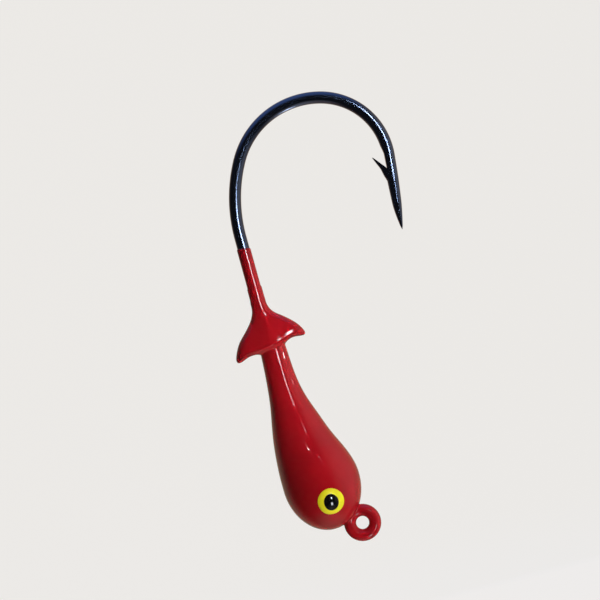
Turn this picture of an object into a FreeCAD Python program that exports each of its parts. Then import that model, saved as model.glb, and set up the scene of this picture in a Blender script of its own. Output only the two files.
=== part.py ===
import FreeCAD, Part
import math
import os

from FreeCAD import Vector

# A jig head for fishing: a ringed hook, a lead head with a two-winged bait keeper cast round its shank,
# a film of red paint over the lead, the ring and the lower shank, and a painted eye on each side.
#
# Millimetres. The origin is the centre of the line eye. +Z runs along the shank, from the head to the bend.
# +X is the side that the point is on, and the hook lies in the plane Y = 0.

# Hook wire
WIRE_R = 1.225          # shank, bend and spear
EYE_WIRE_R = 1.08       # the wire is drawn down a little to form the ring
EYE_RING_R = 2.5        # from the centre of the line eye to the middle of its wire
SHANK_X = -8.44         # shank axis
LEG_ANGLE = 45.0        # between the leg that carries the ring and the shank, degrees
LEG_BEND_R = 4.0        # bend between leg and shank, inside the lead
BEND_START_Z = 61.28    # where the straight shank ends
BEND_ARCS = [(30.8, 28.8), (16.7, 77.2), (13.8, 79.6)]  # radius and turn in degrees, from shank to spear

# Spear and point, measured along the spear from the tip
SPEAR_LENGTH = 15.15
TIP_OFFSET = 0.17       # the point is ground a little off centre, to the outside
TIP_R = 0.05
POINT_TAPER = [(2.4, 0.545), (4.9, 0.91), (7.5, 1.04), (10.0, 1.16)]  # distance from the tip, radius

# Barb: a sliver sliced from the inner side of the spear and bent up; places are (along, inward) of its axis
BARB_ROOT_FRONT = (9.6, 1.05)
BARB_ROOT_BACK = (12.55, 0.74)
BARB_ROOT_HALF_WIDTH = 0.80
BARB_TIP_FRONT = (14.70, 3.20)
BARB_TIP_BACK = (15.10, 3.38)
BARB_TIP_HALF_WIDTH = 0.16
NOTCH_FLOOR = [(12.4, 0.8), (15.6, 0.9)]   # where the sliver was
NOTCH_RUNOUT = 17.4                        # where its floor meets the surface again

# Paint film
COAT = 0.15
PAINT_LINE_Z = 59.12    # upper end of the paint on the shank
EYE_HOLE_R = 1.30       # painted hole of the line eye, gauged with a pin

# Head, as painted. Its sections are circles; their centres drift towards +X, away from the shank.
LEAD_TOP_Z = 47.3
# height, centre's distance from the shank axis, radius
NECK_SECTIONS = [
    (47.3, 0.00, 1.46),
    (45.0, 0.05, 1.66),
    (41.5, 0.25, 2.30),
    (37.5, 0.35, 2.66),
    (34.0, 0.34, 2.86),
    (30.5, 0.38, 3.20),
    (27.0, 0.57, 3.84),
    (23.5, 0.86, 4.80),
    (19.4, 1.28, 5.90),
    (15.9, 1.92, 6.88),
    (12.9, 2.40, 7.52),
]
WIDEST = (9.9, 2.63, 7.75)
NOSE_CENTRE = 2.85      # distance of the nose from the shank axis
NOSE_LENGTH = 9.65      # from the widest section to the tip of the nose
NOSE_ANGLES = [20, 40, 58, 73, 83, 88]     # sections along the quarter ellipse of the nose, degrees

# Bait keeper: two wings in the plane of the hook, as painted.
# distance from the shank axis, upper edge, lower edge, half thickness; first and last are the wings' blunt ends
KEEPER_SECTIONS = [
    (-7.20, 38.20, 37.45, 0.34),
    (-6.85, 39.35, 37.32, 0.72),
    (-5.60, 41.50, 37.45, 1.15),
    (-4.20, 42.80, 37.95, 1.55),
    (-2.80, 44.10, 37.70, 2.00),
    (-1.20, 46.10, 37.00, 2.35),
    (0.20, 46.90, 36.80, 2.45),
    (1.60, 46.10, 37.30, 2.35),
    (2.80, 45.05, 38.40, 2.05),
    (4.10, 44.10, 39.35, 1.65),
    (5.40, 42.90, 39.38, 1.28),
    (6.60, 41.50, 39.28, 0.92),
    (7.34, 40.10, 39.32, 0.36),
]

# Painted eyes
IRIS_CENTRE = (-4.92, 6.40)                # X, Z
IRIS_R = 2.6
PUPIL_CENTRE = (-4.89, 6.20)
PUPIL_HALF_SIZES = (1.43, 1.61)            # along X, along Z
ENAMEL = 0.10                              # thickness of each dot of enamel

Y_AXIS = Vector(0, 1, 0)
PAST_THE_HEAD = 12.0                       # any distance from the hook plane that clears the head


def direction(heading):
    """Unit vector in the hook plane; heading is in degrees from +X towards +Z."""
    return Vector(math.cos(math.radians(heading)), 0, math.sin(math.radians(heading)))


def circle_wire(centre, normal, radius):
    return Part.Wire(Part.makeCircle(radius, centre, normal))


def disc(centre, normal, radius):
    return Part.Face(circle_wire(centre, normal, radius))


def ellipse_wire(centre, major_direction, minor_direction, half_major, half_minor):
    """Ellipse given by its two half sizes; the first one need not be the larger."""
    if half_minor > half_major:
        major_direction, minor_direction = minor_direction, major_direction
        half_major, half_minor = half_minor, half_major
    curve = Part.Ellipse(
        centre + major_direction * half_major,
        centre + minor_direction * half_minor,
        centre,
    )
    return Part.Wire(curve.toShape())


def ring(wire_radius):
    return Part.makeTorus(EYE_RING_R, wire_radius, Vector(0, 0, 0), Y_AXIS)


def leg_and_shank():
    """Tapered leg from the ring, its bend in the lead, and the straight shank."""
    heading = 90 + LEG_ANGLE
    turn = math.radians(LEG_ANGLE)
    corner = Vector(SHANK_X, 0, -SHANK_X / math.tan(turn))
    cut_off = LEG_BEND_R * math.tan(turn / 2)
    start = direction(heading) * EYE_RING_R
    end = corner - direction(heading) * cut_off
    leg = Part.makeCone(EYE_WIRE_R, WIRE_R, (end - start).Length, start, direction(heading))
    bend_centre = end + direction(heading - 90) * LEG_BEND_R
    bend = disc(end, direction(heading), WIRE_R).revolve(bend_centre, Y_AXIS, LEG_ANGLE)
    shank_foot = corner + Vector(0, 0, cut_off)
    shank = Part.makeCylinder(WIRE_R, BEND_START_Z - shank_foot.z, shank_foot)
    return [leg, bend, shank]


def hook_bend():
    """The round bend, as tangent arcs. Returns its solids, and where and how it ends."""
    place = Vector(SHANK_X, 0, BEND_START_Z)
    heading = 90.0
    arcs = []
    for radius, turn in BEND_ARCS:
        centre = place + direction(heading - 90) * radius
        arcs.append(disc(place, direction(heading), WIRE_R).revolve(centre, Y_AXIS, turn))
        place = centre - direction(heading - turn - 90) * radius
        heading -= turn
    return arcs, place, heading


def spear_and_point(start, heading):
    """Straight spear that tapers to the ground point."""
    forward = direction(heading)
    outward = direction(heading + 90)
    tip = start + forward * SPEAR_LENGTH
    sections = [
        circle_wire(tip + outward * TIP_OFFSET, forward, TIP_R),
        circle_wire(tip - forward * POINT_TAPER[0][0] + outward * TIP_OFFSET / 2, forward, POINT_TAPER[0][1]),
    ]
    for along, radius in POINT_TAPER[1:]:
        sections.append(circle_wire(tip - forward * along, forward, radius))
    sections.append(circle_wire(start, forward, WIRE_R))
    return Part.makeLoft(sections, True)


def spear_place(start, heading, along, inward, sideways=0.0):
    """A place by its distance from the tip along the spear, inward from its axis, and off the hook plane."""
    tip = start + direction(heading) * SPEAR_LENGTH
    return tip - direction(heading) * along + direction(heading - 90) * inward + Y_AXIS * sideways


def closed_polygon(places):
    return Part.makePolygon(places + places[:1])


def barb(start, heading):
    """The sliver itself, flat behind and round in front, from inside the spear to its free tip."""

    def half_oval(front, back, half_width):
        middle = spear_place(start, heading, back[0], back[1])
        side = middle + Y_AXIS * half_width
        oval = Part.Ellipse(spear_place(start, heading, front[0], front[1]), side, middle)
        arc = oval.toShape(-math.pi / 2, math.pi / 2)
        return Part.Wire([arc, Part.makeLine(arc.Vertexes[-1].Point, arc.Vertexes[0].Point)])

    root = half_oval(BARB_ROOT_FRONT, BARB_ROOT_BACK, BARB_ROOT_HALF_WIDTH)
    tip = half_oval(BARB_TIP_FRONT, BARB_TIP_BACK, BARB_TIP_HALF_WIDTH)
    return Part.makeLoft([root, tip], True, True)


def barb_notch(start, heading):
    """The flat left in the spear where the sliver was."""
    above = 2 * WIRE_R
    outline = NOTCH_FLOOR + [(NOTCH_RUNOUT, WIRE_R), (NOTCH_RUNOUT, above), (NOTCH_FLOOR[0][0], above)]
    corners = [spear_place(start, heading, along, inward, -above) for along, inward in outline]
    return Part.Face(closed_polygon(corners)).extrude(Y_AXIS * 2 * above)


def make_hook():
    bend, start, heading = hook_bend()
    spear = spear_and_point(start, heading).cut(barb_notch(start, heading))
    wire = ring(EYE_WIRE_R).multiFuse(leg_and_shank() + bend + [spear, barb(start, heading)])
    return wire.removeSplitter()


def head_body(grow):
    """The teardrop and its neck. grow is added to the painted size; -COAT gives the bare lead."""
    up = Vector(0, 0, 1)
    sections = []
    for height, centre, radius in NECK_SECTIONS + [WIDEST]:
        at = height + (grow if height == LEAD_TOP_Z else 0)
        sections.append(circle_wire(Vector(SHANK_X + centre, 0, at), up, radius + grow))
    widest_z, widest_centre, widest_radius = WIDEST
    for angle in NOSE_ANGLES:
        share = math.sin(math.radians(angle))
        at = widest_z - (NOSE_LENGTH + grow) * share
        centre = widest_centre + (NOSE_CENTRE - widest_centre) * share
        radius = (widest_radius + grow) * math.cos(math.radians(angle))
        sections.append(circle_wire(Vector(SHANK_X + centre, 0, at), up, radius))
    return Part.makeLoft(sections, True)


def keeper(grow):
    """Both wings of the bait keeper, one loft of ellipses from tip to tip."""
    up = Vector(0, 0, 1)
    outer_ends = {KEEPER_SECTIONS[0][0]: -grow, KEEPER_SECTIONS[-1][0]: grow}
    sections = []
    for across, upper, lower, half_thickness in KEEPER_SECTIONS:
        centre = Vector(SHANK_X + across + outer_ends.get(across, 0), 0, (upper + lower) / 2)
        sections.append(ellipse_wire(centre, up, Y_AXIS, (upper - lower) / 2 + grow, half_thickness + grow))
    return Part.makeLoft(sections, True)


def casting_shape(grow):
    return head_body(grow).fuse(keeper(grow))


def make_lead_head(hook):
    return casting_shape(-COAT).cut(hook)


def make_head_coat(hook):
    return casting_shape(0).cut(casting_shape(-COAT)).cut(hook)


def make_shank_coat(hook):
    sleeve = Part.makeCylinder(WIRE_R + COAT, PAINT_LINE_Z - LEAD_TOP_Z, Vector(SHANK_X, 0, LEAD_TOP_Z))
    return sleeve.cut(hook)


def make_ring_coat(hook):
    """Film on the ring, from where it leaves the head, with a round hole gauged through it."""
    film = ring(EYE_WIRE_R + COAT).cut(casting_shape(0)).cut(hook)
    hole = Part.makeCylinder(EYE_HOLE_R, 2 * PAST_THE_HEAD, Vector(0, -PAST_THE_HEAD, 0), Y_AXIS)
    return film.cut(hole)


def enamel_dot(outline, lower_face, side):
    """A dot of enamel of the given outline lying on the head's painted surface grown by lower_face."""
    column = Part.Face(outline).extrude(Y_AXIS * side * PAST_THE_HEAD)
    layer = head_body(lower_face + ENAMEL).cut(head_body(lower_face))
    return column.common(layer)


def make_iris(side):
    centre = Vector(IRIS_CENTRE[0], 0, IRIS_CENTRE[1])
    return enamel_dot(circle_wire(centre, Y_AXIS, IRIS_R), 0, side)


def make_pupil(side):
    centre = Vector(PUPIL_CENTRE[0], 0, PUPIL_CENTRE[1])
    half_x, half_z = PUPIL_HALF_SIZES
    outline = ellipse_wire(centre, Vector(1, 0, 0), Vector(0, 0, 1), half_x, half_z)
    return enamel_dot(outline, ENAMEL, side)


def main():
    hook = make_hook()
    nodes = {
        "hook": hook,
        "lead_head": make_lead_head(hook),
        "head_coat": make_head_coat(hook),
        "shank_coat": make_shank_coat(hook),
        "ring_coat": make_ring_coat(hook),
    }
    for name, side in (("right", -1), ("left", 1)):
        nodes[name + "_iris"] = make_iris(side)
        nodes[name + "_pupil"] = make_pupil(side)
    os.makedirs("parts", exist_ok=True)
    for name, shape in nodes.items():
        shape.exportStep("parts/" + name + ".step")
        print(name, len(shape.Solids), shape.isValid(), round(shape.Volume, 2))


main()
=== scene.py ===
import math
import bmesh
import bpy
import numpy as np
from mathutils import Matrix, Vector


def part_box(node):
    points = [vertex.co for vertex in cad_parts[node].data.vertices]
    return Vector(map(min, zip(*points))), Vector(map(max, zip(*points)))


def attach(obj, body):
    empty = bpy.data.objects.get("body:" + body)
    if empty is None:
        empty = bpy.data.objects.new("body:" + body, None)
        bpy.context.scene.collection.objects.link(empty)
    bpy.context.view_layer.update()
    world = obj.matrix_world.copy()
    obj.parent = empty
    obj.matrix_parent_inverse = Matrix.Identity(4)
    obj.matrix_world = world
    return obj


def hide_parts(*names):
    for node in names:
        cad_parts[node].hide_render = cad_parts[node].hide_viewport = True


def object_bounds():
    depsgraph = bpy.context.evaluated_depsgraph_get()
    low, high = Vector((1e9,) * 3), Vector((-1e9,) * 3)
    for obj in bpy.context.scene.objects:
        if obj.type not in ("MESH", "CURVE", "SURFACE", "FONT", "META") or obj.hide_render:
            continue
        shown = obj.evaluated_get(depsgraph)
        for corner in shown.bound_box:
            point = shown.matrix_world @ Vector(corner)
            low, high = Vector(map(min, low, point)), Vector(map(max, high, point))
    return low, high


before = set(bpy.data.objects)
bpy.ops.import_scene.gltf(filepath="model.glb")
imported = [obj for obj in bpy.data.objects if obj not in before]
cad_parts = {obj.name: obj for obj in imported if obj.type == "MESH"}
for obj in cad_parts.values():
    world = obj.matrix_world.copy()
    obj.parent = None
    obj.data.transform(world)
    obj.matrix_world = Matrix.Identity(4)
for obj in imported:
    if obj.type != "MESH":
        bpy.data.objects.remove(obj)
cad_low, cad_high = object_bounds()

# A jig head: a black-nickel hook, a lead head with a two-winged bait keeper under red enamel, and painted
# eyes on both sides.
#
# Shapes are worked out in millimetres, in the CAD's frame: the origin is the centre of the line eye, +Z runs
# along the shank to the bend, +X is the side of the point, and the hook lies in the plane Y = 0.
MM = 0.001


def node_box(node):
    """Lowest and highest corners of a CAD node, in millimetres."""
    low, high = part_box(node)
    return np.array(low) / MM, np.array(high) / MM


# Hook wire
WIRE_R = 1.225
EYE_WIRE_R = 1.08          # the ring's wire
EYE_RING_R = 2.5           # the middle of the ring's wire
LEG_ANGLE = 45.0
LEG_BEND_R = 4.0
BEND_START_Z = 61.28
BEND_ARCS = [(30.8, 28.8), (16.7, 77.2), (13.8, 79.6)]   # radius and turn in degrees, from shank to spear
SPEAR_LENGTH = 15.15
TIP_OFFSET = 0.17                                        # the point is ground off centre, to the outside
GRIND_LENGTH = 4.9                                       # over this length from the tip
GRIND_POWER = 1.5
SPEAR_TAPER = [                                          # distance from the tip, radius
    (0.0, 0.05),
    (0.5, 0.19),
    (1.1, 0.33),
    (2.4, 0.56),
    (4.9, 0.90),
    (7.5, 1.05),
    (10.0, 1.16),
    (13.0, 1.21),
    (SPEAR_LENGTH, WIRE_R),
]
NOTCH_FLOOR = [                                          # distance from the tip, height of the flat
    (12.3, 1.20),
    (12.5, 0.80),
    (15.6, 0.90),
    (17.4, WIRE_R),
]
WIRE_SIDES = 56
WIRE_SPACING = 0.25
RING_SIDES = 40

# Barb: stations from root to tip along its middle: distance from the tip of the spear, height of its back and
# of its crown above the spear's axis, half width
BARB_STATIONS = [
    (9.4, 0.35, 1.00, 0.30),
    (10.2, 0.50, 1.24, 0.66),
    (11.0, 0.62, 1.56, 0.84),
    (11.8, 0.74, 1.83, 0.86),
    (12.6, 0.90, 2.08, 0.80),
    (13.4, 1.60, 2.50, 0.66),
    (14.2, 2.35, 2.93, 0.46),
    (14.8, 2.92, 3.24, 0.26),
    (15.1, 3.24, 3.38, 0.12),
]
BARB_STEPS = 40
BARB_ARC_STEPS = 12
BARB_FLAT_STEPS = 5

# Painted head and shank. Sections: height, centre's distance from the shank axis, radius
SLEEVE_LOW, SLEEVE_HIGH = node_box("shank_coat")
SHANK_X = float((SLEEVE_LOW[0] + SLEEVE_HIGH[0]) / 2)
PAINT_LINE_Z = float(SLEEVE_HIGH[2])
WIDEST_Z = 9.9
STEM_SECTIONS = [
    (WIDEST_Z, 2.63, 7.75),
    (12.9, 2.40, 7.52),
    (15.9, 1.92, 6.88),
    (19.4, 1.28, 5.90),
    (23.5, 0.86, 4.80),
    (27.0, 0.57, 3.84),
    (30.5, 0.38, 3.20),
    (34.0, 0.34, 2.86),
    (37.5, 0.35, 2.66),
    (41.5, 0.25, 2.30),
    (45.0, 0.05, 1.66),
    (48.0, 0.00, 1.42),
    (51.5, 0.00, 1.375),
    (61.0, 0.00, 1.375),
]
NOSE_CENTRE = 2.85         # distance from the shank axis
NOSE_LENGTH = 9.65         # below the widest section
NOSE_FLATTEST = 0.05       # least steepness that the nose's distance is divided by
PAINT_LINE_TILT = -0.13    # the line is a little lower on the side of the point
PAINT_EDGE = 0.30          # over this length the film rounds off at the line
RING_PAINT_R = 1.215       # the ring's wire with its paint
RING_R = 2.515             # the middle of that wire, so that the hole stays 2.6 across

# Bait keeper, seen square to the hook plane: control points of a smooth closed outline, from the shank axis
KEEPER_OUTLINE = [
    (0.0, 47.3), (1.5, 46.3), (2.6, 45.2), (4.0, 44.2), (5.3, 43.05), (6.35, 42.0), (7.15, 40.8),
    (7.62, 39.6), (7.1, 39.15), (5.8, 39.4), (4.4, 39.5), (2.6, 38.5), (0.0, 38.2),
    (-2.2, 37.9), (-3.4, 38.0), (-4.7, 37.95), (-6.0, 37.35), (-7.0, 37.1), (-7.42, 37.6),
    (-7.2, 38.5), (-6.8, 39.45), (-6.2, 40.6), (-5.3, 41.7), (-4.15, 42.8), (-2.95, 44.1), (-1.6, 45.9),
]
KEEPER_CURVE_STEPS = 80    # for each control point
KEEPER_GRID = 0.1          # pitch of the table of distances inside the outline
KEEPER_MARGIN = 2.0        # of that table round the outline
TABLE_END = 3.001          # cells from the end of the table where a place still has its four neighbours
NOT_ZERO = 1e-12           # keeps a division by a square distance defined on the outline itself
KEEPER_RIM = 0.95          # width of the rounded rim
KEEPER_HALF_THICKNESS = 3.15                             # on the shank axis, at the ridge
KEEPER_REACH = 10.0        # half width of the ellipse that the thickness follows outward
KEEPER_REACH_END = 0.05    # least square of that ellipse's height
KEEPER_TAPER = 0.12        # and it is less by this much for each millimetre
KEEPER_TAPER_R = 1.0       # rounds the taper off at the shank axis
KEEPER_RIDGE_Z = 39.45     # the thickest place, on the shank axis
KEEPER_DROOP = 0.16        # how much higher the ridge is for each millimetre towards +X
KEEPER_SLOPE = 0.33        # loss of half thickness for each millimetre above the ridge
KEEPER_RIDGE_R = 0.5       # rounds the ridge off
KEEPER_THINNEST = 0.3      # least half thickness
KEEPER_FILLET = 1.3
KEEPER_SPAN = (34.0, 51.0)                               # heights between which it is blended in
RING_FILLET = 0.2
RING_SPAN = (-6.0, 6.0)

# Mesh of the paint
SKIN_PITCH = 0.17
SKIN_MARGIN = 0.4
SETTLE_ROUNDS = 6
SETTLE_SHARE = 0.6         # of the way to the neighbours' mean, each round
NEWTON_STEPS = 2           # back onto the surface, each round
SPLINE_STEPS = 4000        # places at which a spline is tabled
SLOPE_STEP = 0.01          # half the length over which a slope is measured

# Painted eyes: underside above the red paint, height of the rounded edge, further height of the dome, and how
# far the brush went above and beyond the middle and the half height that the CAD gives
EYE_LAYERS = {"iris": (0.0, 0.10, 0.05, 0.05, 0.04), "pupil": (0.12, 0.09, 0.16, 0.13, 0.07)}
EYE_WOBBLE = 0.010
EYE_WAVES = [(2, 0.7, 1.0), (3, 2.1, 0.6), (5, 0.0, 0.3)]   # waves round the edge, phase, share
EYE_RINGS = 22
EYE_SIDES = 96
EYE_EDGE_POWER = 6         # higher is flatter on top and steeper at the edge
PRESSED_IN = 0.04          # into what lies under the drop
SHARP_EDGE = 40.0          # degrees

# Colours, linear
RED_DEEP = (0.40, 0.0045, 0.010)
RED_FULL = (0.47, 0.0060, 0.012)
NICKEL_DARK = (0.070, 0.085, 0.125)
NICKEL_BLUE = (0.085, 0.115, 0.190)
YELLOW = (0.97, 0.92, 0.006)
YELLOW_THIN = (0.92, 0.80, 0.005)
YELLOW_ROUGHNESS = 0.34
BLACK = (0.0035, 0.0035, 0.0040)
BLACK_THIN = (0.006, 0.005, 0.006)
BLACK_ROUGHNESS = 0.04
LEAD_DARK = (0.16, 0.17, 0.19)
LEAD_BRIGHT = (0.42, 0.43, 0.46)
DUST_SPACING = 3.2         # millimetres between the dust nibs in the paint
STAGE_COLOUR = (0.86, 0.84, 0.81)
STAGE_SHADE = (0.10, 0.10, 0.10)
STAGE_GLOW = 0.95
ROOM_DARK = (0.030, 0.028, 0.030)      # in front and to the left
# Axis of the direction, where along it the colour begins and where it is full, colour
ROOM_SIDES = [
    ("X", 0.45, 1.0, (0.50, 0.48, 0.48)),
    ("Y", 0.1, 0.8, (0.42, 0.30, 0.22)),
    ("Z", -0.75, -1.0, (0.45, 0.40, 0.37)),
    ("Z", 0.5, 0.95, (0.22, 0.36, 0.75)),
]

# Camera, in millimetres
SHANK_LEAN = 15.4          # degrees
CAMERA_DISTANCE = 400.0
CAMERA_FRAME = 120.0       # width of the picture at the hook plane
CAMERA_AIM = (-0.26, 0.0, 46.21)
SENSOR_WIDTH = 36.0
CAMERA_CLIP = (0.01, 10.0)   # metres

# Stage, in metres
FLOOR_DROP = 0.25
STAGE_R = 1.5
STAGE_SIDES = 96           # of each half
STAGE_ROWS = 40

# Lamps: point (X, Y, Z) in millimetres that each is aimed at; where it is, as azimuth from -Y towards +X and
# elevation in degrees, and distance in metres; (width, height) in metres; brightness; colour; spread in
# degrees
SHADING_LAMPS = [
    ("key", (5.0, 0.0, 41.0), 52, 18, 0.90, (0.45, 0.45), 6.6, (1.0, 0.97, 0.95), 180),
    ("fill", (5.0, 0.0, 41.0), -40, 30, 1.0, (0.60, 0.60), 0.20, (1.0, 0.96, 0.92), 180),
    ("behind", (5.0, 0.0, 41.0), 165, 30, 0.9, (0.4, 0.4), 2.5, (1.0, 0.98, 0.96), 180),
    ("from_below", (-3.0, -5.0, 0.0), 22, -42, 0.22, (0.08, 0.08), 120.0, (1.0, 0.95, 0.92), 12),
    ("neck_lamp", (-8.4, 0.0, 44.0), 8, 8, 0.30, (0.05, 0.05), 120.0, (1.0, 0.97, 0.95), 8.0),
]
GLINT_LAMPS = [
    ("overhead_lamp", (-6.6, -6.4, 17.4), 6, 29, 0.025, (0.0012, 0.0005), 130, (1.0, 0.98, 0.94), 20),
    ("ring_lamp", (0.4, -1.2, 0.0), 20.5, 15, 0.12, (0.012, 0.009), 60, (1.0, 0.97, 0.95), 6),
    ("low_pane_upper", (-4.0, -7.4, 5.0), 21, -19, 0.12, (0.015, 0.020), 60, (0.78, 0.93, 1.0), 14),
    ("low_pane_lower", (-4.0, -7.4, 5.0), 17, -46, 0.12, (0.024, 0.034), 24, (0.88, 0.92, 1.0), 20),
    ("bend_lamp", (9.0, 0.0, 83.0), 148, -70, 0.10, (0.012, 0.012), 35, (0.88, 0.94, 1.0), 24),
    ("side_lamp", (-4.0, -1.5, 35.5), 82, 4.5, 0.04, (0.004, 0.0012), 70, (1.0, 0.97, 0.95), 14),
]
# The window is a column of panes that are mirrored only in the shank, the bend, the keeper and the neck
WINDOW_AZIMUTH = 27.5
WINDOW_ELEVATIONS = (-2.0, 24.5)
WINDOW_PANES = 10
PANE_OVERLAP = 1.02
WINDOW_WIDTH = 0.084       # metres
WINDOW_DISTANCE = 0.45     # metres
WINDOW_BRIGHTNESS = 75
WINDOW_COLOUR = (0.86, 0.93, 1.0)
WINDOW_SPREAD = 9.6        # degrees
WINDOW_AIM_Z = 59.0


# ---------------------------------------------------------------- curves and fields

def smooth_through(knots, values):
    """Cubic spline through the values, level at the first knot, as a fine table for np.interp."""
    x, y = np.array(knots, float), np.array(values, float)
    h = np.diff(x)
    slope = np.diff(y) / h
    system = np.eye(len(x))
    right = np.zeros(len(x))
    system[0, :2] = 2 * h[0], h[0]
    right[0] = 6 * slope[0]
    for i in range(1, len(x) - 1):
        system[i, i - 1:i + 2] = h[i - 1], 2 * (h[i - 1] + h[i]), h[i]
        right[i] = 6 * (slope[i] - slope[i - 1])
    bend = np.linalg.solve(system, right)
    fine = np.linspace(x[0], x[-1], SPLINE_STEPS)
    i = np.clip(np.searchsorted(x, fine) - 1, 0, len(h) - 1)
    a, b = x[i + 1] - fine, fine - x[i]
    smooth = (bend[i] * a ** 3 + bend[i + 1] * b ** 3) / (6 * h[i])
    smooth += (y[i] / h[i] - bend[i] * h[i] / 6) * a + (y[i + 1] / h[i] - bend[i + 1] * h[i] / 6) * b
    return fine, smooth


def b_weights(t):
    """Weights of four neighbouring control points of a uniform cubic B-spline."""
    second = (3 * t ** 3 - 6 * t ** 2 + 4) / 6
    third = (1 + 3 * t + 3 * t ** 2 - 3 * t ** 3) / 6
    return (1 - t) ** 3 / 6, second, third, t ** 3 / 6


def closed_curve(controls, steps):
    """Smooth closed curve near its control points."""
    p = np.array(controls, float)
    weights = b_weights(np.linspace(0, 1, steps, endpoint=False)[:, None])
    spans = []
    for k in range(len(p)):
        spans.append(sum(w * p[(k + j) % len(p)] for j, w in zip((-1, 0, 1, 2), weights)))
    return np.concatenate(spans)


def smooth_min(a, b, width):
    """The smaller of two fields, rounded where they differ by less than width."""
    overlap = np.maximum(width - np.abs(a - b), 0) / width
    return np.minimum(a, b) - overlap ** 2 * width / 4


class InnerDistance:
    """How far a point is inside a closed outline, rounded off along its middle; negative outside."""

    def __init__(self, outline, pitch, margin):
        self.pitch = pitch
        self.low = outline.min(0) - margin
        count = np.ceil((outline.max(0) + margin - self.low) / pitch).astype(int)
        gx, gz = np.meshgrid(*[low + pitch * np.arange(n) for low, n in zip(self.low, count)], indexing="ij")
        nearest = np.full(gx.shape, np.inf)
        total = np.zeros(gx.shape)
        inside = np.zeros(gx.shape, bool)
        following = np.roll(outline, -1, 0)
        steps = np.hypot(*(following - outline).T)
        for (px, pz), (qx, qz), step in zip(outline, following, steps):
            square = (gx - px) ** 2 + (gz - pz) ** 2 + NOT_ZERO
            nearest = np.minimum(nearest, square)
            total += step / square ** 1.5
            if pz != qz:
                inside ^= ((gz < pz) != (gz < qz)) & (gx < px + (gz - pz) * (qx - px) / (qz - pz))
        nearest = np.sqrt(nearest)
        rounded = np.where(nearest < 2 * steps.max(), nearest, np.sqrt(2 / total))
        self.table = np.where(inside, rounded, -nearest)

    def at(self, x, z):
        """The distance at any place, smoothly between the table's values."""
        u, v = (x - self.low[0]) / self.pitch, (z - self.low[1]) / self.pitch
        u = np.clip(u, 1, self.table.shape[0] - TABLE_END)
        v = np.clip(v, 1, self.table.shape[1] - TABLE_END)
        i, j = u.astype(int), v.astype(int)
        value = np.zeros(np.shape(x))
        for a, across in enumerate(b_weights(u - i)):
            for b, upward in enumerate(b_weights(v - j)):
                value += across * upward * self.table[i + a - 1, j + b - 1]
        return value


heights, centres, radii = zip(*STEM_SECTIONS)
CENTRE_TABLE = smooth_through(heights, centres)
RADIUS_TABLE = smooth_through(heights, radii)
KEEPER_CURVE = closed_curve(KEEPER_OUTLINE, KEEPER_CURVE_STEPS)
KEEPER_DISTANCE = InnerDistance(KEEPER_CURVE, KEEPER_GRID, KEEPER_MARGIN)


def nose_section(z):
    """The nose at a height: its middle from the shank axis, its widest radius, the share of the way down."""
    _, centre, widest = STEM_SECTIONS[0]
    below = (WIDEST_Z - z) / NOSE_LENGTH
    return centre + (NOSE_CENTRE - centre) * below, widest, below


def stem(x, y, z):
    """The head, its neck and the painted shank. As all these fields, about the distance, negative inside."""
    across = np.hypot(x - SHANK_X - np.interp(z, *CENTRE_TABLE), y)
    side = across - np.interp(z, *RADIUS_TABLE)
    centre, widest, below = nose_section(z)
    across = np.hypot(x - SHANK_X - centre, y)
    steepness = 2 * np.hypot(across / widest ** 2, below / NOSE_LENGTH)
    nose = ((across / widest) ** 2 + below ** 2 - 1) / np.maximum(steepness, NOSE_FLATTEST)
    line = PAINT_LINE_Z + PAINT_LINE_TILT * (x - SHANK_X)
    return -smooth_min(-np.where(z < WIDEST_Z, nose, side), line - z, PAINT_EDGE)


def keeper(x, y, z):
    """The two wings of the bait keeper: thickest along a ridge low down, sloping away upward and outward."""
    across = x - SHANK_X
    half = KEEPER_HALF_THICKNESS * np.sqrt(np.maximum(1 - (across / KEEPER_REACH) ** 2, KEEPER_REACH_END))
    half -= KEEPER_TAPER * (np.hypot(across, KEEPER_TAPER_R) - KEEPER_TAPER_R)
    above = np.maximum(z - KEEPER_RIDGE_Z - KEEPER_DROOP * across, 0)
    half -= KEEPER_SLOPE * (np.hypot(above, KEEPER_RIDGE_R) - KEEPER_RIDGE_R)
    half = np.maximum(half, KEEPER_THINNEST)
    rim = np.maximum(1 - KEEPER_DISTANCE.at(across, z) / KEEPER_RIM, 0)
    return (np.hypot(rim, y / half) - 1) * half


def line_eye(x, y, z):
    """The painted ring of the line eye."""
    return np.hypot(np.hypot(x, z) - RING_R, y) - RING_PAINT_R


def painted(x, y, z):
    """Everything under the red paint, as one smooth body."""
    body = stem(x, y, z)
    for part, fillet, (lowest, highest) in BLENDED_ON:
        near = (z > lowest) & (z < highest)
        body[near] = smooth_min(body[near], part(x[near], y[near], z[near]), fillet)
    return body


BLENDED_ON = [(keeper, KEEPER_FILLET, KEEPER_SPAN), (line_eye, RING_FILLET, RING_SPAN)]


def gradient(field, points):
    """How fast the field grows along each axis."""
    step = SLOPE_STEP
    x, y, z = points.T
    return np.stack([
        field(x + step, y, z) - field(x - step, y, z),
        field(x, y + step, z) - field(x, y - step, z),
        field(x, y, z + step) - field(x, y, z - step),
    ], 1) / (2 * step)


# ---------------------------------------------------------------- meshes

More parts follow.
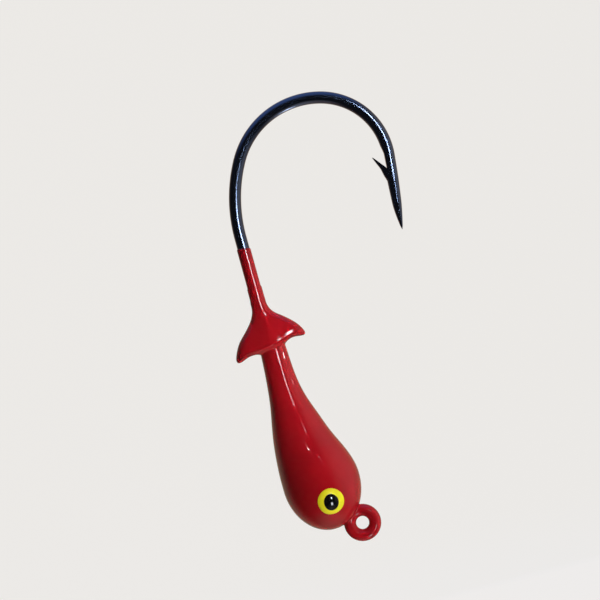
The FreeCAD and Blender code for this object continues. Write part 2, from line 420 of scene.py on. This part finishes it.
def field_cells(field, low, high, pitch):
    """One vertex in each cell of a grid that the surface crosses, and a quad across each crossed edge."""
    axes = [np.arange(a - 2 * pitch, b + 3 * pitch, pitch) for a, b in zip(low, high)]
    origin = np.array([a[0] for a in axes])
    values = field(*np.meshgrid(*axes, indexing="ij"))
    inside = values < 0
    corners = sum(
        inside[a:a + inside.shape[0] - 1, b:b + inside.shape[1] - 1, c:c + inside.shape[2] - 1].astype(int)
        for a in (0, 1) for b in (0, 1) for c in (0, 1)
    )
    crossed = (corners > 0) & (corners < 8)
    cells = np.argwhere(crossed)
    number = np.full(crossed.shape, -1)
    number[crossed] = np.arange(len(cells))
    total, count = np.zeros(cells.shape), np.zeros(len(cells))
    quads = []
    for axis in range(3):
        along, second, third = (np.eye(3, dtype=int)[(axis + k) % 3] for k in range(3))
        for a in (0, 1):
            for b in (0, 1):
                offset = a * second + b * third
                near = values[tuple((cells + offset).T)]
                far = values[tuple((cells + offset + along).T)]
                hit = (near < 0) != (far < 0)
                share = (near / np.where(hit, near - far, 1))[hit, None]
                total[hit] += offset + along * share
                count[hit] += 1
        lower = np.moveaxis(inside, axis, 0)[:-1]
        upper = np.moveaxis(inside, axis, 0)[1:]
        edges = np.argwhere(np.moveaxis(lower != upper, 0, axis))
        ring = [number[tuple((edges - d).T)] for d in (0 * along, second, second + third, third)]
        ring = np.stack(ring, 1)
        outward = inside[tuple(edges.T)]
        quads.append(np.where(outward[:, None], ring, ring[:, ::-1]))
    return origin + (cells + total / count[:, None]) * pitch, np.concatenate(quads)


def settle(field, points, quads):
    """Evens the vertices out over the surface and brings them exactly onto it."""
    pairs = np.concatenate([quads[:, [k, (k + 1) % 4]] for k in range(4)])
    ends, others = pairs[:, 0], pairs[:, 1]
    ends, others = np.concatenate([ends, others]), np.concatenate([others, ends])
    count = np.bincount(ends, minlength=len(points))[:, None]
    for _ in range(SETTLE_ROUNDS):
        mean = np.stack([np.bincount(ends, points[others, k], len(points)) for k in range(3)], 1) / count
        points = points + SETTLE_SHARE * (mean - points)
        for _ in range(NEWTON_STEPS):
            slope = gradient(field, points)
            points = points - slope * (field(*points.T) / (slope ** 2).sum(1))[:, None]
    return points


def mesh_object(name, points, faces, normals=None):
    """Blender object of a mesh given in millimetres."""
    mesh = bpy.data.meshes.new(name)
    mesh.from_pydata((np.asarray(points) * MM).tolist(), [], [list(map(int, face)) for face in faces])
    mesh.polygons.foreach_set("use_smooth", [True] * len(mesh.polygons))
    if normals is not None:
        mesh.normals_split_custom_set_from_vertices(normals.tolist())
    mesh.update()
    piece = bpy.data.objects.new(name, mesh)
    bpy.context.scene.collection.objects.link(piece)
    return piece


def skinned(name, field, low, high):
    """Closed smooth mesh of the surface where the field is zero."""
    points, quads = field_cells(field, low, high, SKIN_PITCH)
    points = settle(field, points, quads)
    return mesh_object(name, points, quads, gradient(field, points))


def tube_faces(ring_count, sides):
    """Faces of a closed tube whose points come ring by ring."""
    faces = []
    for i in range(ring_count - 1):
        for j in range(sides):
            k = (j + 1) % sides
            faces.append((i * sides + j, i * sides + k, (i + 1) * sides + k, (i + 1) * sides + j))
    faces.append(tuple(range(sides))[::-1])
    faces.append(tuple((ring_count - 1) * sides + j for j in range(sides)))
    return faces


# ---------------------------------------------------------------- pieces

def direction(heading):
    """Unit vector in the hook plane; heading is in degrees from +X towards +Z."""
    return np.array([math.cos(math.radians(heading)), 0, math.sin(math.radians(heading))])


def hook_line(spacing):
    """Places along the middle of the wire from the ring to the point, with headings and distances travelled.

    The last value is the length of the leg between the ring and the shank's corner.
    """
    turn = math.radians(LEG_ANGLE)
    heading = 90 + LEG_ANGLE
    corner = np.array([SHANK_X, 0, -SHANK_X / math.tan(turn)])
    cut_off = LEG_BEND_R * math.tan(turn / 2)
    leg = math.hypot(corner[0], corner[2]) - cut_off - EYE_RING_R
    shank = BEND_START_Z - corner[2] - cut_off
    runs = [(leg, 0, None), (None, LEG_ANGLE, LEG_BEND_R), (shank, 0, None)]
    runs += [(None, bend, radius) for radius, bend in BEND_ARCS] + [(SPEAR_LENGTH, 0, None)]
    place = direction(heading) * EYE_RING_R
    places, headings, travelled = [place], [heading], [0.0]
    for length, bend, radius in runs:
        length = length or radius * math.radians(bend)
        steps = max(2, round(length / spacing))
        for _ in range(steps):
            middle = heading - bend / steps / 2
            chord = 2 * radius * math.sin(math.radians(bend / steps / 2)) if bend else length / steps
            place = place + direction(middle) * chord
            heading -= bend / steps
            places.append(place)
            headings.append(heading)
            travelled.append(travelled[-1] + length / steps)
    return np.array(places), np.array(headings), np.array(travelled), leg


def make_hook_wire():
    """The whole wire from the ring to the point, with the flat behind the barb; and where the point is."""
    places, headings, travelled, leg = hook_line(WIRE_SPACING)
    to_tip = travelled[-1] - travelled
    radius = np.interp(to_tip, *smooth_through(*zip(*SPEAR_TAPER)))
    radius = np.where(to_tip > SPEAR_LENGTH, WIRE_R, np.minimum(radius, WIRE_R))
    radius = np.minimum(radius, np.interp(travelled, [0, leg], [EYE_WIRE_R, WIRE_R]))
    offset = TIP_OFFSET * np.clip(1 - to_tip / GRIND_LENGTH, 0, 1) ** GRIND_POWER
    notched = (to_tip > NOTCH_FLOOR[0][0]) & (to_tip < NOTCH_FLOOR[-1][0])
    floor = np.where(notched, np.interp(to_tip, *zip(*NOTCH_FLOOR)), np.inf)
    turn = np.linspace(0, 2 * math.pi, WIRE_SIDES, endpoint=False)
    points = []
    for place, heading, r, out, top in zip(places, headings, radius, offset, floor):
        inward = np.minimum(r * np.cos(turn), top) - out
        sideways = r * np.sin(turn)
        points.append(place + np.outer(inward, direction(heading - 90)) + np.outer(sideways, (0, 1, 0)))
    wire = mesh_object("hook", np.concatenate(points), tube_faces(len(points), WIRE_SIDES))
    return wire, places[-1], headings[-1]


def make_ring(wire_radius, sides):
    """The closed ring of the line eye."""
    places = []
    around = np.linspace(0, 360, 2 * sides, endpoint=False)
    turn = np.linspace(0, 2 * math.pi, sides, endpoint=False)
    for heading in around:
        outward = direction(heading)
        in_plane = np.outer(EYE_RING_R + wire_radius * np.cos(turn), outward)
        places.append(in_plane + np.outer(wire_radius * np.sin(turn), (0, 1, 0)))
    faces = []
    for i in range(len(places)):
        here, following = i * sides, (i + 1) % len(places) * sides
        for j in range(sides):
            k = (j + 1) % sides
            faces.append((here + j, here + k, following + k, following + j))
    return mesh_object("ring", np.concatenate(places), faces)


def make_barb(tip, heading):
    """The sliver lifted from the spear: flat behind, round in front as the wire it was cut from."""
    along, back, crown, half = (np.array(column) for column in zip(*BARB_STATIONS))
    share = np.linspace(0, 1, BARB_STEPS)
    knots = np.linspace(0, 1, len(along))
    fine = [np.interp(share, *smooth_through(knots, column)) for column in (along, back, crown, half)]
    points = []
    for at, low, high, wide in zip(*fine):
        turn = np.linspace(0, math.pi, BARB_ARC_STEPS)
        flat = np.linspace(-wide, wide, BARB_FLAT_STEPS + 2)[1:-1]
        sideways = np.concatenate([wide * np.cos(turn), flat])
        height = np.concatenate([low + (high - low) * np.sin(turn), np.full(BARB_FLAT_STEPS, low)])
        place = tip - direction(heading) * at
        points.append(place + np.outer(height, direction(heading - 90)) + np.outer(sideways, (0, 1, 0)))
    sides = BARB_ARC_STEPS + BARB_FLAT_STEPS
    return mesh_object("barb", np.concatenate(points), tube_faces(len(points), sides))


def outward_faces(piece):
    """Turns every face to look out of its closed mesh."""
    mesh = bmesh.new()
    mesh.from_mesh(piece.data)
    bmesh.ops.recalc_face_normals(mesh, faces=mesh.faces)
    mesh.to_mesh(piece.data)
    mesh.free()


def join_solids(piece, *others):
    """Unites closed meshes into one closed mesh and removes the others."""
    for solid in (piece, *others):
        outward_faces(solid)
    for other in others:
        union = piece.modifiers.new("union", "BOOLEAN")
        union.operation = "UNION"
        union.solver = "EXACT"
        union.object = other
    united = bpy.data.meshes.new_from_object(piece.evaluated_get(bpy.context.evaluated_depsgraph_get()))
    piece.modifiers.clear()
    piece.data = united
    for other in others:
        bpy.data.objects.remove(other)
    united.polygons.foreach_set("use_smooth", [True] * len(united.polygons))
    united.set_sharp_from_angle(angle=math.radians(SHARP_EDGE))


def make_hook():
    """Wire, ring and barb as one closed mesh."""
    wire, tip, heading = make_hook_wire()
    join_solids(wire, make_ring(EYE_WIRE_R, RING_SIDES), make_barb(tip, heading))
    return wire


def head_side(x, z, side):
    """Points of the painted head's side surface below its widest section."""
    centre, widest, below = nose_section(z)
    y = side * np.sqrt(widest ** 2 * (1 - below ** 2) - (x - SHANK_X - centre) ** 2)
    return np.stack([x, y, z], 1)


def enamel_dot(name, side, centre, half_sizes, underside, edge, crown):
    """A drop of enamel on the head: a flat underside pressed on the paint, a rounded edge and a low dome."""
    rings, sides = EYE_RINGS, EYE_SIDES
    turn = np.linspace(0, 2 * math.pi, sides, endpoint=False)
    uneven = 1 + EYE_WOBBLE * sum(part * np.sin(waves * turn + phase) for waves, phase, part in EYE_WAVES)
    share = np.sin(np.linspace(0, math.pi / 2, rings + 1)[1:])
    radii = np.outer(share, uneven)
    x = np.append(centre[0], centre[0] + half_sizes[0] * (radii * np.cos(turn)).ravel())
    z = np.append(centre[1], centre[1] + half_sizes[1] * (radii * np.sin(turn)).ravel())
    base = head_side(x, z, side)
    normal = gradient(stem, base)
    normal /= np.linalg.norm(normal, axis=1)[:, None]
    spread = np.append(0, np.repeat(share, sides))
    height = edge * np.sqrt(1 - spread ** EYE_EDGE_POWER) + crown * (1 - spread ** 2)
    top = base + normal * (underside + height)[:, None]
    bottom = base + normal * (underside - PRESSED_IN)
    count = len(top)
    faces = []
    for j in range(sides):
        k = (j + 1) % sides
        faces.append((0, 1 + j, 1 + k))
        faces.append((count, count + 1 + k, count + 1 + j))
        for i in range(rings - 1):
            a, b = 1 + i * sides, 1 + (i + 1) * sides
            faces.append((a + j, b + j, b + k, a + k))
            faces.append((count + a + j, count + a + k, count + b + k, count + b + j))
        rim = 1 + (rings - 1) * sides
        faces.append((rim + j, count + rim + j, count + rim + k, rim + k))
    drop = mesh_object(name, np.concatenate([top, bottom]), faces)
    outward_faces(drop)
    drop.data.set_sharp_from_angle(angle=math.radians(SHARP_EDGE))
    return drop


def make_eye(side_name, side):
    """Iris and pupil of one side, where the CAD has them."""
    made = []
    for part, (underside, edge, crown, raised, taller) in EYE_LAYERS.items():
        node = side_name + "_" + part
        low, high = node_box(node)
        centre = (low + high)[[0, 2]] / 2 + (0, raised)
        half = (high - low)[[0, 2]] / 2 + (0, taller)
        made.append(enamel_dot(node + "_drop", side, centre, half, underside, edge, crown))
    return made


# ---------------------------------------------------------------- materials

def new_material(name, **settings):
    """A Principled material. Returns it with its shader, and functions that add and join nodes."""
    made = bpy.data.materials.new(name)
    made.use_nodes = True
    tree = made.node_tree
    shader = tree.nodes["Principled BSDF"]
    for key, value in settings.items():
        shader.inputs[key.replace("_", " ")].default_value = value

    def add(kind, **inputs):
        node = tree.nodes.new(kind)
        for key, value in inputs.items():
            if key in node.bl_rna.properties:
                setattr(node, key, value)
            else:
                node.inputs[key].default_value = value
        return node

    return made, shader, add, tree.links.new


def place_on_object(add, link):
    """Object coordinates in millimetres."""
    places = add("ShaderNodeTexCoord")
    scaled = add("ShaderNodeMapping")
    scaled.inputs["Scale"].default_value = [1 / MM] * 3
    link(places.outputs["Object"], scaled.inputs["Vector"])
    return scaled.outputs["Vector"]


def noise(add, link, vector, size, detail=2.0, roughness=0.5):
    """Noise whose lumps are about size millimetres across."""
    node = add("ShaderNodeTexNoise", Scale=1 / size, Detail=detail, Roughness=roughness)
    link(vector, node.inputs["Vector"])
    return node.outputs["Fac"]


def remap(add, link, value, low, high, to_low, to_high):
    """The value moved from the range low to high into the range to_low to to_high."""
    node = add("ShaderNodeMapRange")
    for key, number in zip(("From Min", "From Max", "To Min", "To Max"), (low, high, to_low, to_high)):
        node.inputs[key].default_value = number
    link(value, node.inputs["Value"])
    return node.outputs["Result"]


def colour_between(add, link, factor, first, second):
    """Mix of two colours: the first at factor 0, the second at 1."""
    node = add("ShaderNodeMix", data_type="RGBA")
    link(factor, node.inputs[0])
    node.inputs[6].default_value = (*first, 1)
    node.inputs[7].default_value = (*second, 1)
    return node.outputs[2]


def bump(add, link, height, depth, under=None):
    """Relief of the given depth in millimetres."""
    node = add("ShaderNodeBump", Distance=depth * MM, Strength=1.0)
    link(height, node.inputs["Height"])
    if under is not None:
        link(under, node.inputs["Normal"])
    return node.outputs["Normal"]


def red_enamel():
    """Deep red gloss enamel, laid on thick: faint colour drift, faint orange peel and a few dust nibs."""
    made, shader, add, link = new_material("red_enamel", Roughness=0.06, IOR=1.5)
    vector = place_on_object(add, link)
    patches = noise(add, link, vector, size=7.0)
    drift = remap(add, link, patches, low=0.35, high=0.65, to_low=0, to_high=1)
    link(colour_between(add, link, drift, RED_DEEP, RED_FULL), shader.inputs["Base Color"])
    clouds = noise(add, link, vector, size=2.5, detail=3.0)
    haze = remap(add, link, clouds, low=0.3, high=0.7, to_low=0.03, to_high=0.06)
    link(haze, shader.inputs["Roughness"])
    peel = bump(add, link, noise(add, link, vector, size=1.5, detail=1.0), depth=0.0045)
    dust = add("ShaderNodeTexVoronoi", Scale=1 / DUST_SPACING, Randomness=1.0)
    link(vector, dust.inputs["Vector"])
    nib = remap(add, link, dust.outputs["Distance"], low=0.0, high=0.035, to_low=1, to_high=0)
    link(bump(add, link, nib, depth=0.03, under=peel), shader.inputs["Normal"])
    return made


def black_nickel():
    """Nearly black bright plating with a blue cast, over the fine grain of the wire."""
    made, shader, add, link = new_material("black_nickel", Metallic=1.0, Coat_Weight=0.6, Coat_Roughness=0.06)
    vector = place_on_object(add, link)
    drift = noise(add, link, vector, size=5.0, detail=3.0)
    link(colour_between(add, link, drift, NICKEL_DARK, NICKEL_BLUE), shader.inputs["Base Color"])
    rubbed = noise(add, link, vector, size=0.8, detail=4.0, roughness=0.7)
    wear = remap(add, link, rubbed, low=0.3, high=0.7, to_low=0.20, to_high=0.27)
    link(wear, shader.inputs["Roughness"])
    grain = bump(add, link, noise(add, link, vector, size=0.35), depth=0.0004)
    link(grain, shader.inputs["Normal"])
    return made


def eye_enamel(name, first, second, roughness):
    """Brushed-on gloss enamel: the colour is a little uneven where it ran thin."""
    made, shader, add, link = new_material(name, Roughness=roughness, IOR=1.5)
    vector = place_on_object(add, link)
    patches = noise(add, link, vector, size=0.9)
    link(colour_between(add, link, patches, first, second), shader.inputs["Base Color"])
    strokes = noise(add, link, vector, size=0.7, detail=1.0)
    link(bump(add, link, strokes, depth=0.003), shader.inputs["Normal"])
    return made


def cast_lead():
    """Dull grey lead as it comes from the mould."""
    made, shader, add, link = new_material("cast_lead", Metallic=1.0)
    vector = place_on_object(add, link)
    patches = noise(add, link, vector, size=3.0, detail=5.0, roughness=0.6)
    tarnish = remap(add, link, patches, low=0.35, high=0.65, to_low=0, to_high=1)
    link(colour_between(add, link, tarnish, LEAD_DARK, LEAD_BRIGHT), shader.inputs["Base Color"])
    dullness = remap(add, link, tarnish, low=0, high=1, to_low=0.6, to_high=0.42)
    link(dullness, shader.inputs["Roughness"])
    grain = noise(add, link, vector, size=0.4, detail=4.0)
    link(bump(add, link, grain, depth=0.02), shader.inputs["Normal"])
    return made


# ---------------------------------------------------------------- camera, stage and lights

def make_camera():
    """Level with the object and square to the hook plane, turned so that the shank leans to the left."""
    data = bpy.data.cameras.new("camera")
    data.sensor_width = SENSOR_WIDTH
    data.lens = SENSOR_WIDTH * CAMERA_DISTANCE / CAMERA_FRAME
    data.clip_start, data.clip_end = CAMERA_CLIP
    camera = bpy.data.objects.new("camera", data)
    bpy.context.scene.collection.objects.link(camera)
    right, up = image_axes()
    turned = Matrix((right, up, (0, -1, 0))).transposed().to_4x4()
    aim = Vector(CAMERA_AIM) * MM
    camera.matrix_world = Matrix.Translation(aim - Vector((0, CAMERA_DISTANCE * MM, 0))) @ turned
    bpy.context.scene.camera = camera


def image_axes():
    """Directions that point right and up in the picture."""
    lean = math.radians(SHANK_LEAN)
    return Vector((math.cos(lean), 0, -math.sin(lean))), Vector((math.sin(lean), 0, math.cos(lean)))


def toward(azimuth, elevation):
    """Unit vector from the object; azimuth 0 points at the camera, 90 along +X."""
    turn, lift = math.radians(azimuth), math.radians(elevation)
    return Vector((math.sin(turn) * math.cos(lift), -math.cos(turn) * math.cos(lift), math.sin(lift)))


def lamp(name, aim, way, distance, size, brightness, colour, spread):
    """Area light that faces the point aim. brightness is that of a white surface which looks as bright."""
    data = bpy.data.lights.new(name, "AREA")
    data.shape = "RECTANGLE"
    data.size, data.size_y = size
    data.spread = math.radians(spread)
    half = math.radians(spread) / 2
    narrowing = math.tan(half) / (math.tan(half) - half) if spread < 180 else 1.0
    data.energy = brightness * math.pi * size[0] * size[1] / narrowing
    data.color = colour
    made = bpy.data.objects.new(name, data)
    bpy.context.scene.collection.objects.link(made)
    made.location = Vector(aim) + way * distance
    made.rotation_mode = "QUATERNION"
    made.rotation_quaternion = way.to_track_quat("Z", "Y")
    made.visible_camera = False
    return made


def make_stage():
    """A pale floor that curves up into walls and over the top, in two halves. Only the camera sees it."""
    sides, rows = STAGE_SIDES, STAGE_ROWS
    centre = (Vector(cad_low) + Vector(cad_high)) / 2
    floor = cad_low[2] - FLOOR_DROP
    profile = []
    for k in range(rows + 1):
        lift = -math.pi / 2 + math.pi * k / rows
        radius = STAGE_R * math.cos(lift)
        height = max(centre[2] + STAGE_R * math.sin(lift), floor)
        profile.append((radius, height))
    for name, start in (("stage_back", 0), ("stage_front", math.pi)):
        points = []
        for j in range(sides + 1):
            turn = start + math.pi * j / sides
            outward = np.array([math.cos(turn), math.sin(turn), 0])
            points += [(centre[0], centre[1], height) + radius * outward for radius, height in profile]
        faces = []
        for j in range(sides):
            here, following = j * len(profile), (j + 1) * len(profile)
            for k in range(rows):
                faces.append((here + k, following + k, following + k + 1, here + k + 1))
        half = mesh_object(name, np.array(points) / MM, faces)
        half.data.materials.append(stage_paper())
        half.visible_glossy = False
        half.visible_diffuse = False


def stage_paper():
    """Pale paper that glows by itself, so that no shading of the stage shows."""
    made, shader, _, _ = new_material("stage_paper", Roughness=0.9)
    shader.inputs["Base Color"].default_value = (*STAGE_SHADE, 1)
    shader.inputs["Emission Color"].default_value = (*STAGE_COLOUR, 1)
    shader.inputs["Emission Strength"].default_value = STAGE_GLOW
    return made


def make_lights():
    """Broad lamps give the light and shade; small ones and the window are only mirrored in the gloss."""
    for mirrored, rows in ((False, SHADING_LAMPS), (True, GLINT_LAMPS)):
        for name, aim, azimuth, elevation, distance, size, brightness, colour, spread in rows:
            way = toward(azimuth, elevation)
            made = lamp(name, Vector(aim) * MM, way, distance, size, brightness, colour, spread)
            made.visible_glossy = mirrored
            made.visible_diffuse = not mirrored
    lowest, highest = WINDOW_ELEVATIONS
    height = (highest - lowest) / WINDOW_PANES
    size = (WINDOW_WIDTH, WINDOW_DISTANCE * math.radians(height) * PANE_OVERLAP)
    aim = (SHANK_X * MM, 0, WINDOW_AIM_Z * MM)
    for pane in range(WINDOW_PANES):
        way = toward(WINDOW_AZIMUTH, lowest + height * (pane + 0.5))
        name = "window_%d" % pane
        made = lamp(name, aim, way, WINDOW_DISTANCE, size, WINDOW_BRIGHTNESS, WINDOW_COLOUR, WINDOW_SPREAD)
        made.visible_diffuse = False


def make_room():
    """Surroundings that the object is lit by and mirrors: dim, but brighter on some sides."""
    world = bpy.data.worlds.new("room")
    bpy.context.scene.world = world
    world.use_nodes = True
    nodes, link = world.node_tree.nodes, world.node_tree.links.new

    def add(kind, **inputs):
        node = nodes.new(kind)
        for key, value in inputs.items():
            setattr(node, key, value)
        return node

    way = add("ShaderNodeSeparateXYZ")
    link(add("ShaderNodeTexCoord").outputs["Generated"], way.inputs[0])
    shade = add("ShaderNodeRGB").outputs[0]
    shade.default_value = (*ROOM_DARK, 1)
    for axis, start, end, colour in ROOM_SIDES:
        ramp = add("ShaderNodeMapRange", interpolation_type="SMOOTHSTEP")
        ramp.inputs["From Min"].default_value = start
        ramp.inputs["From Max"].default_value = end
        link(way.outputs[axis], ramp.inputs["Value"])
        mix = add("ShaderNodeMix", data_type="RGBA")
        mix.inputs[7].default_value = (*colour, 1)
        link(ramp.outputs["Result"], mix.inputs[0])
        link(shade, mix.inputs[6])
        shade = mix.outputs[2]
    link(shade, nodes["Background"].inputs["Color"])


# ---------------------------------------------------------------- making it

def main():
    """Camera, stage and lights, then each visible piece in the place of its CAD nodes."""
    make_camera()
    make_stage()
    make_lights()
    make_room()
    bpy.context.scene.view_settings.view_transform = "Standard"

    boxes = [node_box(node) for node in ("head_coat", "shank_coat", "ring_coat")]
    lowest = np.min([low for low, _ in boxes], axis=0) - SKIN_MARGIN
    highest = np.max([high for _, high in boxes], axis=0) + SKIN_MARGIN
    paint = skinned("paint", painted, lowest, highest)
    paint.data.materials.append(red_enamel())
    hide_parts("head_coat", "shank_coat", "ring_coat")

    hook = make_hook()
    hook.name = "hook_wire"
    hook.data.materials.append(black_nickel())
    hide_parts("hook")

    yellow = eye_enamel("yellow_enamel", YELLOW, YELLOW_THIN, YELLOW_ROUGHNESS)
    black = eye_enamel("black_enamel", BLACK, BLACK_THIN, BLACK_ROUGHNESS)
    eyes = []
    for side_name, side in (("right", -1), ("left", 1)):
        iris, pupil = make_eye(side_name, side)
        iris.data.materials.append(yellow)
        pupil.data.materials.append(black)
        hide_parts(side_name + "_iris")
        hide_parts(side_name + "_pupil")
        eyes += [iris, pupil]

    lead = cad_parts["lead_head"]
    lead.data.materials.clear()
    lead.data.materials.append(cast_lead())

    for piece in (paint, hook, *eyes):
        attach(piece, "root")


main()
